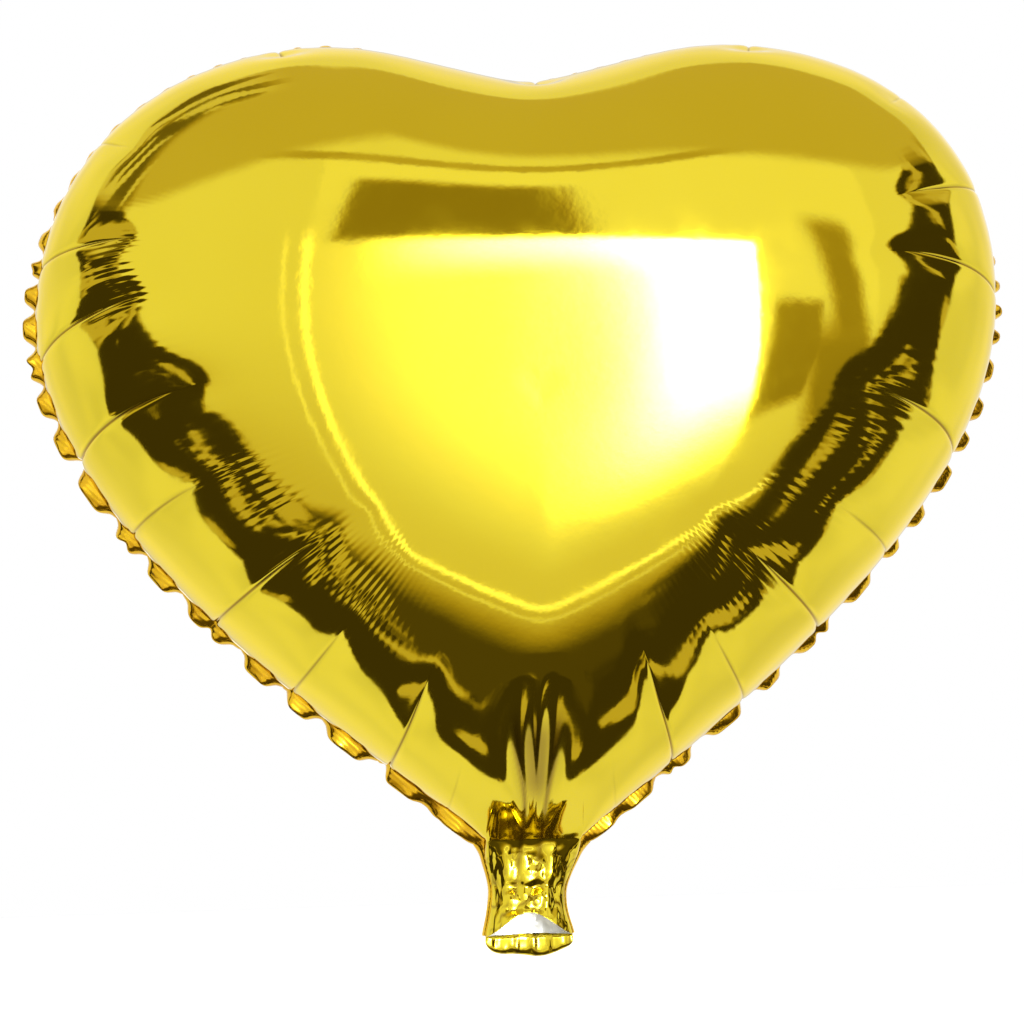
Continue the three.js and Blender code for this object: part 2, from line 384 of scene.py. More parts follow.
def tip_folds(x, z):
    """The two folds that run from the tip into the neck, as (hollow, line): the share of the hollow they lie
    in, a bell with a narrower ridge taken off its middle, and how creased the film is, which the foil's
    colour takes as painted shade: a bell across either fold, and a broad one over both of them further up.
    They are 8 mm apart in the neck and 17 mm apart 52 mm up."""
    half = 4 * MM + 4.5 * MM * smoothstep(14 * MM, 52 * MM, z)
    off = x - 0.6 * MM * np.sin(z / (11 * MM)) + 1.4 * MM
    hollow = bell(off, 0, 1.5 * half) - 0.6 * bell(off, 0, 0.6 * half)
    below_top = smoothstep(60 * MM, 44 * MM, z)
    # Painted shade: dark lines along the two folds, and a broad dark patch between them further up
    line = bell(np.abs(off), 0.95 * half, 0.25 * half) * below_top
    between = bell(off, 0, 1.05 * half) * smoothstep(14 * MM, 30 * MM, z) * below_top
    return hollow, np.maximum(line, 0.9 * between)


def crumple(x, z, side):
    """The crumples of the tip and the neck, as (height in metres, how creased). The height is the magnitude
    of two octaves of noise, so they are upright facets with sharp valleys, growing from nothing 10 mm above
    the origin downwards; the film is creased where the noise is near 0, and the foil's colour takes that as
    painted shade in the valleys."""
    u, w = x / (3.4 * MM) + 9, z / (9 * MM) + 20
    finer = 2.3
    coarse, fine = lattice(u, w, 51 + side), lattice(finer * u, finer * w, 61 + side)
    rough = np.abs(coarse) + 0.5 * np.abs(fine) - 0.4
    # Painted shade along the crumples' valleys, where the noise is near 0
    lines = np.maximum(bell(coarse, 0, 0.10), 0.6 * bell(fine, 0, 0.12))
    height = 0.8 * MM * smoothstep(10 * MM, -4 * MM, z) * rough
    creased = 0.75 * smoothstep(8 * MM, -6 * MM, z) * lines
    return height, creased


def with_root(weld_values):
    """Values along the weld line, and 0 at each point of the neck's root."""
    return np.concatenate([weld_values, np.zeros(ROOT_STEPS - 1)])


def edge_gauge(edge, rise):
    """Distance from the crown to each point of the edge, and that distance over the one it would be with the
    cleft and the corners at the neck rounded: blurred over 2.6 degrees of bearing from the crown, with the
    middle of the neck's root taken as 11 per cent further away."""
    radius = np.hypot(edge[:, 0], edge[:, 1] - CROWN_Z)
    pointed = radius * (1 + 0.11 * (rise > 0) * (1 - np.abs(edge[:, 0]) / ROOT_HALF_WIDTH))
    bearing = np.arctan2(edge[:, 0], CROWN_Z - edge[:, 1])
    turn = np.linspace(-math.pi, math.pi, 3600)
    rounded = blurred(np.interp(turn, bearing, pointed, period=2 * math.pi), 26)
    return radius, radius / np.interp(bearing, turn, rounded)


# The swell of a panel: the powers that flatten its crown and round its edge, and the keel's share of it
CROWN_POWER = 1.5
EDGE_POWER = 0.52
KEEL_SHARE = 0.45

# The funnel that the tip stays inside: its depth at the root, how much deeper it gets for each step up, and
# how sharply the swell turns into it
FUNNEL_DEPTH = 8.8 * MM
FUNNEL_SLOPE = 1.34
FUNNEL_POWER = 6

# The chord that the hollow of the tip's folds is cut down to, in the same way
CHORD_DEPTH = 9 * MM
CHORD_SLOPE = 0.90


def swell(x, z, share, gauge):
    """Distance of a panel from the seam plane, and how creased its tip is. The distance is
    DEPTH * (1 - (1 - q)^1.5)^0.52 for a share q of the soap film's sag, mixed in the lower half with
    1 - gauge^2, which gives it a soft keel. It stays inside a funnel that leads into the neck, and the
    hollow of the tip's folds is cut down to a chord."""
    keel = KEEL_SHARE * smoothstep(190 * MM, 90 * MM, z) * smoothstep(24 * MM, 80 * MM, z)
    share = share * (1 - keel) + (1 - gauge ** 2) * keel
    height = DEPTH * (1 - np.clip(1 - share, 0, 1) ** CROWN_POWER) ** EDGE_POWER
    above = np.maximum(z - ROOT_Z, 0)
    dip = 3 * MM * (1 - np.exp(-above / (5 * MM)))
    funnel = FUNNEL_DEPTH + FUNNEL_SLOPE * above + above ** 2 / (100 * MM) - dip
    height = height * (1 + (height / funnel) ** FUNNEL_POWER) ** (-1 / FUNNEL_POWER)
    hollow, fold_line = tip_folds(x, z)
    chord = CHORD_DEPTH + CHORD_SLOPE * above
    return height - np.maximum(height - chord, 0) * hollow, fold_line


def heart_rings(side):
    """One panel, as a grid of rings by columns, how creased it is, which the foil's colour takes as painted
    shade, and its crown. A ring is a share v of the way from the crown to the edge, and a column leans with
    the creases. Creases, ripples, crumples and slow unevenness move each point of the swell along its
    normal, and the edge is drawn in and waved with the seam, which it meets along the whole weld line."""
    edge, rise = panel_edge()
    sag = soap_film()
    left_over = sag(edge[:, 0], edge[:, 1])
    left_over[len(WELD):] = left_over[0] * (np.abs(edge[len(WELD):, 0]) / ROOT_HALF_WIDTH) ** 6
    radius, ratio = edge_gauge(edge, rise)
    v = (1 - (1 - np.linspace(0, 1, RINGS + 1)[1:]) ** 1.7)[:, None]
    at_edge = v ** 16

    at = np.concatenate([WELD_S, WELD_LENGTH + (np.arange(ROOT_STEPS - 1) + 1) * MM])
    level = (1 - v) * radius
    leaned = at + with_root(slant(WELD_T)) * LEAN_REACH * (1 - np.exp(-level / LEAN_REACH))
    edge_x, edge_z, residue, ratio = (
        np.interp(leaned, at, column) for column in (edge[:, 0], edge[:, 1], left_over, ratio))
    x = edge_x * v
    z = CROWN_Z + (edge_z - CROWN_Z) * v
    share = (sag(x, z) - residue * at_edge) / sag(np.float64(0), np.float64(CROWN_Z))
    height, fold_line = swell(x, z, share, v * (1 + (ratio - 1) * (1 - at_edge)))
    points = np.stack([x, side * height, z], 2)

    steps = np.linalg.norm(np.diff(points, axis=0), axis=2)
    inward = np.zeros_like(x)
    inward[:-1] = np.cumsum(steps[::-1], axis=0)[::-1]
    t = np.concatenate([WELD_T, np.linspace(1, 0, ROOT_STEPS + 1)[1:-1]])[None, :]
    at_rim = with_root(SIDES)[None, :]
    creases, crease_shade = crease_field(t, inward, side)
    ripples = comb_field(t, inward, side)
    slow = lattice(x / (70 * MM) + 9, z / (70 * MM) + side, 8)
    uneven = 0.5 * MM * slow * smoothstep(0, 40 * MM, inward)
    wrinkles, wrinkle_lines = crumple(x, z, side)
    keep = smoothstep(0, 1.5 * MM, inward)
    moved = (creases + ripples) * at_rim * keep + uneven + wrinkles * (1 - (1 - keep) * (1 - rise))
    normals = unit_normals(points)
    normals *= np.sign((normals[..., 1:2] * side).sum())
    points = points + normals * moved[..., None]

    drawn_in = bell(inward, 0, 4.5 * MM) * with_root(PULL_IN)
    points[..., 0] -= drawn_in * with_root(WELD_OUT[:, 0])
    points[..., 2] -= drawn_in * with_root(WELD_OUT[:, 1])
    points[..., 1] += with_root(WAVE) * np.exp(-inward / (14 * MM)) + side * 0.1 * MM * keep
    crown = np.array([0, side * (DEPTH + float(moved[0].mean())), CROWN_Z])
    # The painted shade of the panel: along the grooves of the rim, the tip's folds and the crumples
    creased = np.maximum(np.maximum(crease_shade * at_rim, 0.9 * fold_line), wrinkle_lines)
    return leaning(points), creased, crown


# ---------------------------------------------------------------- the neck

# Half width and half depth in mm at heights in mm, from the mouth up to the root
NECK_WIDTH = profile([
    (-46, 15), (-38, 17.4), (-32, 17), (-25, 14.8), (-16, 13.8), (-9, 15.8), (-3, 18.4), (4.2, 19), (9, 19),
])
NECK_DEPTH = profile([
    (-46, 8.5), (-40, 9), (-33, 8.8), (-26, 7.6), (-16, 6.9), (-9, 7.5), (-3, 8.0), (4.2, 8.6), (9, 12),
])

# How far below the root the lip is: at the seams, and in the middle of the front and of the back
CORNER_DROP = 36.5 * MM
FRONT_DROP = 27.5 * MM
BACK_DROP = 36 * MM

# Share of the way down the neck at which the back's lip starts to roll
ROLL_START = 0.72


def neck_skin(side):
    """One half of the neck as rows by columns, from the root to the lip: half an ellipse carried down the
    neck, pinched at two heights, with pleats, crumples and the tip's folds. The front's lip is short in the
    middle, and the back's lip rolls forwards and up again in half an ellipse that is flattened below."""
    angle = np.linspace(0, math.pi, ROOT_STEPS + 1)[None, :]
    row = np.linspace(0, 1, NECK_ROWS + 1)[:, None]
    across = np.sin(angle)
    middle = across ** 3
    if side < 0:
        down, turn = row * (CORNER_DROP + (FRONT_DROP - CORNER_DROP) * middle), 0 * row
    else:
        down = np.minimum(row / ROLL_START, 1) * (CORNER_DROP + (BACK_DROP - CORNER_DROP) * middle)
        turn = np.maximum(row - ROLL_START, 0) / (1 - ROLL_START) * math.pi
    roll_down = 8.8 * MM * across ** 0.7 * (1 + 0.06 * np.cos(5 * angle))
    roll_out = 5 * MM * across ** 0.5
    z = ROOT_Z - down - roll_down * np.sin(turn) ** 0.6
    forward = roll_out * (1 - np.cos(turn)) - 1.4 * MM * smoothstep(math.pi / 2, math.pi, turn)

    smooth_x = NECK_WIDTH(z) * np.cos(angle)
    pinch = 0.9 * MM * bell(z, -14 * MM, 2.4 * MM) + 0.5 * MM * bell(z, -22 * MM, 2 * MM)
    drift = z / (16 * MM)
    pleats = 0.5 * np.cos(6 * angle + drift) + 0.25 * np.cos(11 * angle - 2 * drift + side)
    off = smoothstep(0, 6 * MM, down) * (0.5 * MM * pleats - pinch * (1 + 0.5 * np.cos(9 * angle)))
    off = off + crumple(smooth_x, z, side)[0]
    fade = 0.3 + 0.7 * smoothstep(-14 * MM, 4 * MM, z)
    fold = -2.2 * MM * tip_folds(smooth_x, z)[0] * fade
    wide = NECK_WIDTH(z) + 0.5 * off * across ** 0.5
    deep = np.maximum(NECK_DEPTH(z) * across + (off + fold) * across, 0)
    return np.stack([wide * np.cos(angle), side * (deep - forward), z], 2)


# ---------------------------------------------------------------- meshes


def quads_of(index):
    """Quads between the neighbours of a grid of vertex numbers."""
    return np.stack([index[:-1, :-1], index[1:, :-1], index[1:, 1:], index[:-1, 1:]], -1).reshape(-1, 4)


def grid_faces(rows, columns, start, closed):
    """Quads of a grid whose vertices are numbered row by row from start."""
    index = start + np.arange(rows * columns).reshape(rows, columns)
    if closed:
        index = np.concatenate([index, index[:, :1]], 1)
    return quads_of(index)


def mesh_object(name, points, quads, triangles=(), slots=(), creased=None):
    """A smooth-shaded mesh from whole arrays of points, quads and triangles, with the material slot of each
    face and how creased each point is, which the materials take as painted shade."""
    mesh = bpy.data.meshes.new(name)
    quads, triangles = np.asarray(quads, int).reshape(-1, 4), np.asarray(triangles, int).reshape(-1, 3)
    corners = np.concatenate([quads.ravel(), triangles.ravel()])
    totals = np.concatenate([np.full(len(quads), 4), np.full(len(triangles), 3)])
    mesh.vertices.add(len(points))
    mesh.vertices.foreach_set("co", np.asarray(points, np.float32).ravel())
    mesh.loops.add(len(corners))
    mesh.loops.foreach_set("vertex_index", corners.astype(np.int32))
    mesh.polygons.add(len(totals))
    mesh.polygons.foreach_set("loop_start", (np.cumsum(totals) - totals).astype(np.int32))
    mesh.polygons.foreach_set("use_smooth", np.ones(len(totals), bool))
    if len(slots):
        mesh.polygons.foreach_set("material_index", np.asarray(slots, np.int32))
    mesh.update(calc_edges=True)
    if creased is not None:
        layer = mesh.attributes.new("creased", "FLOAT", "POINT")
        layer.data.foreach_set("value", creased.astype(np.float32))
    mesh.validate()
    made = bpy.data.objects.new(name, mesh)
    bpy.context.scene.collection.objects.link(made)
    return made


def foil_sheet(name, side):
    """One foil sheet: the panel's rings round its crown, the neck below its root columns, and a lining
    inside the neck that turns round the lip and goes up inside to LINING_START. The neck's first 10 mm make
    up the difference between its root and the panel's."""
    rings, crease_shade, crown = heart_rings(side)
    count = rings.shape[1]
    panel = np.concatenate([crown[None, :], rings.reshape(-1, 3)])
    panel_quads = grid_faces(RINGS, count, 1, True)
    fan = 1 + np.arange(count)
    triangles = np.stack([np.zeros(count, int), fan, np.roll(fan, -1)], 1)
    last_ring = len(panel) - count
    root = last_ring + np.concatenate([[WELD_STEPS], np.arange(WELD_STEPS + 1, count), [0]])

    outer = neck_skin(side)
    jump = panel[root] - leaning(outer[0].copy())
    outer += jump * smoothstep(10 * MM, 0, ROOT_Z - outer[..., 2:])
    lined = outer[LINING_START:]
    down, around = np.gradient(lined, axis=0), np.gradient(lined, axis=1)
    normal = np.cross(around, down)
    normal /= np.maximum(np.linalg.norm(normal, axis=2, keepdims=True), 1e-12)
    upright = 8
    normal *= np.sign((normal[:upright, :, 1] * side).sum())
    lining = (lined - normal * LINING_INSET)[::-1]
    neck = np.concatenate([outer[1:], lining])
    x, z = neck[..., 0], neck[..., 2]
    # Painted shade of the neck: along the tip's folds and the crumples
    neck_crease_shade = np.maximum(0.8 * tip_folds(x, z)[1], crumple(x, z, side)[1])
    neck = leaning(neck)

    rows, columns = neck.shape[:2]
    index = np.concatenate([root[None, :], len(panel) + np.arange(rows * columns).reshape(rows, columns)])
    quads = np.concatenate([panel_quads, quads_of(index)])
    slots = np.zeros(len(quads) + len(triangles), int)
    slots[len(panel_quads) + NECK_ROWS * (columns - 1):len(quads)] = 1
    if side > 0:
        quads, triangles = quads[:, ::-1], triangles[:, ::-1]
    points = np.concatenate([panel, neck.reshape(-1, 3)])
    creased = np.concatenate([[0.0], crease_shade.ravel(), neck_crease_shade.ravel()])
    return mesh_object(name, points, quads, triangles, slots, creased)


def ribbon_mesh(name, front, rear, creased=None):
    """A closed ribbon: the rows of its front, each carried on by the row of its rear backwards, with both
    ends capped."""
    ribbon = np.concatenate([front, rear[:, ::-1]], 1)
    rows, columns = ribbon.shape[:2]
    first = np.array([[k, k + 1, columns - 2 - k, columns - 1 - k] for k in range(columns // 2 - 1)])
    final = first[:, ::-1] + (rows - 1) * columns
    quads = np.concatenate([grid_faces(rows, columns, 0, True), first, final])
    return mesh_object(name, ribbon.reshape(-1, 3), quads, creased=creased)


# Degrees by which the band bends back: everywhere, at a pucker, over the lobes, on the right side of the
# heart and on the neck, and the most it may be together
BACK_ALL, BACK_PUCKER, BACK_TOP, BACK_RIGHT, BACK_NECK, BACK_MOST = 12, 86, 78, 26, 72, 102

# The part of its width that the band lies inside the weld line
BAND_INSIDE = 0.25


def seam_band(name):
    """The fused band: a thin closed ribbon carried up the left of the neck, round the heart and down its
    right. Its section bends away from the seam plane by an angle that grows outwards. It folds back along
    the neck, over the top of the lobes and at each pucker, and between two puckers of the sides it stands
    out like a leaf."""
    neck_right = neck_skin(-1)[1:, 0][:, [0, 2]]
    neck_left = neck_right[::-1] * [-1, 1]
    path = np.concatenate([neck_left, WELD, neck_right])
    rows = len(neck_left)

    def along_path(weld_values, neck_value=0.0):
        """Values along the weld line, and neck_value along both sides of the neck."""
        neck_values = np.full(rows, neck_value)
        return np.concatenate([neck_values, weld_values, neck_values])

    normal = np.concatenate([np.tile([-1.0, 0.0], (rows, 1)), WELD_OUT, np.tile([1.0, 0.0], (rows, 1))])
    normal = blurred(normal, 7)
    normal /= np.linalg.norm(normal, axis=1, keepdims=True)
    leaves = blurred(along_path(smoothstep(0.36, 0.90, LEAF), 0.5), 1.2)
    wave, top, sides = along_path(WAVE), along_path(TOP), along_path(SIDES)
    pull = along_path(PULL_IN) + 0.5 * MM * (1 - leaves) * sides
    along = lengths(path)

    widening = smoothstep(-16 * MM, 6 * MM, path[:, 1])
    width = (NECK_SEAM_WIDTH + (FLANGE_WIDTH - NECK_SEAM_WIDTH) * widening)[:, None]
    on_right = smoothstep(0.0, 0.1, path[:, 0]) * sides
    on_neck = smoothstep(8 * MM, -4 * MM, path[:, 1])
    back = BACK_ALL + BACK_PUCKER * (1 - leaves) * sides + BACK_TOP * top + BACK_RIGHT * on_right
    back = back + BACK_NECK * on_neck + 10 * wander(along, 0.19, 71)
    back = np.radians(np.minimum(back, BACK_MOST))

    across = np.linspace(-BAND_INSIDE, 1, 7)
    tilt = back[:, None] * np.clip(across, 0, 1) ** 0.6
    step = width * np.diff(across, prepend=across[0])
    reach = np.cumsum(step * np.cos(tilt), axis=1) - BAND_INSIDE * width
    behind = np.cumsum(step * np.sin(tilt), axis=1)
    curl = 0.5 * MM * np.sin(along / (2.1 * MM) + 2 * wander(along, 0.3, 81))[:, None]
    curl = curl * np.clip(across, 0, 1) ** 2 * (0.4 + 0.6 * leaves[:, None])
    x = path[:, :1] + normal[:, :1] * (reach - pull[:, None])
    z = path[:, 1:] + normal[:, 1:] * (reach - pull[:, None])
    y = wave[:, None] + behind + curl
    half = 0.16 * MM
    front, rear = leaning(np.stack([x, y - half, z], 2)), leaning(np.stack([x, y + half, z], 2))
    rim = smoothstep(0.70, 1.0, np.concatenate([across, across[::-1]]))
    # Painted shade where the band folds back: at the puckers and along its bent-back outer edge
    creased = np.maximum(0.45 * (1 - leaves[:, None]), 0.4 * rim) * np.maximum(sides, 0.3)[:, None]
    return ribbon_mesh(name, front, rear, creased.ravel())


def valve_film(name, node, side):
    """One film of the valve: a thin strip that stands on the neck's root, bowed and slightly rippled, with
    rounded upper corners. Its half width is that of a rectangle less a quarter circle at the top."""
    low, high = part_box(node)
    u = np.linspace(-1, 1, 33)[None, :]
    z = np.linspace(low.z, high.z, 61)[:, None]
    corner = 7 * MM
    over = np.clip((z - (high.z - corner)) / corner, 0, 1)
    x = (high.x - corner * (1 - np.sqrt(1 - over ** 2))) * u
    middle = side * abs(low.y + high.y) / 2
    bow = 0.25 * np.sin(z / (13 * MM)) + 0.2 * np.cos(2.4 * u + z / (21 * MM))
    y = middle + bow * MM * smoothstep(0, 15 * MM, z - low.z)
    half = 0.06 * MM
    z = z + 0 * u
    return ribbon_mesh(name, np.stack([x, y - half, z], 2), np.stack([x, y + half, z], 2))


# ---------------------------------------------------------------- shader maths


class Wire:
    """A shader value: + - * / and math add Math nodes to its tree, and step adds a Map Range node."""

    def __init__(self, tree, socket):
        self.tree, self.socket = tree, socket

    def math(self, operation, *others):
        return self.tree.node("ShaderNodeMath", {"operation": operation}, dict(enumerate((self, *others))))

    def __add__(self, other):
        return self.math("ADD", other)

    __radd__ = __add__

    def __sub__(self, other):
        return self.math("SUBTRACT", other)

    def __rsub__(self, other):
        return self.tree.node("ShaderNodeMath", {"operation": "SUBTRACT"}, {0: other, 1: self})

    def __mul__(self, other):
        return self.math("MULTIPLY", other)

    __rmul__ = __mul__

    def __truediv__(self, other):
        return self.math("DIVIDE", other)

    def step(self, low, high):
        """0 below low and 1 above high, smoothly; low may be above high."""
        inputs = {"Value": self, "From Min": low, "From Max": high}
        return self.tree.node("ShaderNodeMapRange", {"interpolation_type": "SMOOTHSTEP"}, inputs)


class Tree:
    """A node tree that is built by calls: node(type, settings, inputs) makes any node, with its settings set
    first and the values or links of its sockets after that, and returns its first output."""

    def __init__(self, tree):
        self.nodes, self.links = tree.nodes, tree.links
        self.nodes.clear()

    def node(self, kind, settings=None, inputs=None, output=0):
        made = self.nodes.new(kind)
        for key, value in (settings or {}).items():
            setattr(made, key, value)
        for key, value in (inputs or {}).items():
            socket = made.inputs[key]
            if isinstance(value, Wire):
                self.links.new(value.socket, socket)
            else:
                socket.default_value = value
        return Wire(self, made.outputs[output]) if len(made.outputs) else None

    def mix(self, factor, a, b):
        """Mixes two colours."""
        made = self.nodes.new("ShaderNodeMix")
        made.data_type = "RGBA"
        for name, value in (("Factor_Float", factor), ("A_Color", a), ("B_Color", b)):
            socket = next(s for s in made.inputs if s.identifier == name)
            if isinstance(value, Wire):
                self.links.new(value.socket, socket)
            else:
                socket.default_value = value if name == "Factor_Float" else (*value, 1)
        return Wire(self, next(s for s in made.outputs if s.identifier == "Result_Color"))

    def noise(self, place, scale, detail=3.0, roughness=0.5):
        """Smooth noise, mostly from 0.3 to 0.7."""
        inputs = {"Vector": place, "Scale": scale, "Detail": detail, "Roughness": roughness}
        return self.node("ShaderNodeTexNoise", None, inputs)

    def place(self):
        """Object coordinates, in metres."""
        return self.node("ShaderNodeTexCoord", None, None, "Object")

    def creased(self):
        """How creased the film is, from 0 to 1: the mask of the painted shade in the colours."""
        return self.node("ShaderNodeAttribute", {"attribute_name": "creased"}, None, "Fac")

    def surface(self, inputs, height, distance, strength):
        """A Principled surface, with a bump from height, joined to the material's output."""
        bump = {"Height": height, "Distance": distance, "Strength": strength}
        inputs["Normal"] = self.node("ShaderNodeBump", None, bump)
        shader = self.node("ShaderNodeBsdfPrincipled", None, inputs)
        self.node("ShaderNodeOutputMaterial", None, {"Surface": shader})


def material(name):
    """A new material, and its emptied node tree."""
    made = bpy.data.materials.new(name)
    made.use_nodes = True
    return made, Tree(made.node_tree)


def gold_foil():
    """Mirror-bright lemon gold: a clear lacquer on metallised film. It is duller where it is creased, and
    much darker there through painted shade; it is a little hazy in slow patches, and has the faint orange
    peel of stretched film."""
    made, tree = material("gold_foil_finish")
    place = tree.place()
    creased = tree.creased()
    slow = tree.noise(place, 9.0, 3.0)
    haze = tree.noise(place, 60.0, 5.0, 0.6)
    specks = tree.noise(place, 900.0, 2.0)
    # The third colour is painted shade, which the creases, folds and crumples are darkened to.
    lemon, deeper, crease_shade_colour = (0.88, 0.70, 0.026), (0.86, 0.675, 0.022), (0.24, 0.13, 0.01)
    colour = tree.mix(creased * 0.9, tree.mix(slow.step(0.35, 0.65), lemon, deeper), crease_shade_colour)
    peel = tree.noise(place, 160.0, 2.0) * 0.5 + specks * 0.06 + tree.noise(place, 420.0, 2.0) * 0.12
    tree.surface({
        "Base Color": colour,
        "Metallic": 1.0,
        "Roughness": haze.step(0.35, 0.8) * 0.05 + creased * 0.1 + 0.045,
        "Specular Tint": (1.0, 0.88, 0.5, 1.0),
        "Coat Weight": 0.4,
        "Coat Roughness": 0.03,
        "Coat IOR": 1.5,
    }, peel, 0.0004, 0.10)
    return made


def seam_gold():
    """The fused band: the same gold, a little deeper in colour and duller, with painted shade that makes it
    darker where it folds back, and with the fine ribs that the sealing bar leaves."""
    made, tree = material("gold_seam_finish")
    place = tree.place()
    ribs = tree.node("ShaderNodeTexWave", {"bands_direction": "DIAGONAL"}, {
        "Vector": place, "Scale": 260.0, "Distortion": 1.5, "Detail": 1.0})
    mottled = tree.noise(place, 140.0, 4.0)
    # The third colour is painted shade, for where the band folds back.
    amber, deeper, fold_shade_colour = (0.95, 0.60, 0.02), (0.86, 0.48, 0.015), (0.42, 0.20, 0.012)
    colour = tree.mix(mottled.step(0.3, 0.7), amber, deeper)
    tree.surface({
        "Base Color": tree.mix(tree.creased() * 0.6, colour, fold_shade_colour),
        "Metallic": 1.0,
        "Roughness": mottled * 0.12 + 0.10,
        "Coat Weight": 0.2,
        "Coat Roughness": 0.06,
    }, ribs * 0.5 + mottled * 0.5, 0.0002, 0.35)
    return made


def silver_lining():
    """The bare inner face of the film: dull silver, faintly mottled."""
    made, tree = material("silver_lining_finish")
    place = tree.place()
    mottled = tree.noise(place, 220.0, 4.0)
    tree.surface({
        "Base Color": tree.mix(mottled, (0.80, 0.80, 0.76), (0.92, 0.92, 0.88)),
        "Metallic": 0.55,
        "Roughness": mottled * 0.15 + 0.32,
    }, mottled, 0.0002, 0.3)
    return made


def clear_film():
    """Soft clear film, slightly milky, with fine draw lines along it."""
    made, tree = material("clear_film_finish")
    place = tree.place()
    drawn_out = tree.node("ShaderNodeMapping", None, {"Vector": place, "Scale": (900.0, 900.0, 30.0)})
    lines = tree.noise(drawn_out, 1.0)
    tree.surface({
        "Base Color": tree.mix(lines, (0.86, 0.88, 0.85), (0.96, 0.97, 0.95)),
        "Roughness": lines * 0.15 + 0.18,
        "Alpha": lines * 0.2 + 0.35,
    }, lines, 0.0001, 0.3)
    return made


def floor_paint():
    """Pale matte studio floor with barely visible mottling."""
    made, tree = material("floor_finish")
    mottled = tree.noise(tree.place(), 3.0, 3.0)
    tree.surface({
        "Base Color": tree.mix(mottled, (0.93, 0.93, 0.93), (0.96, 0.96, 0.96)),
        "Roughness": mottled * 0.1 + 0.7,
    }, mottled, 0.001, 0.1)
    return made


# ---------------------------------------------------------------- studio


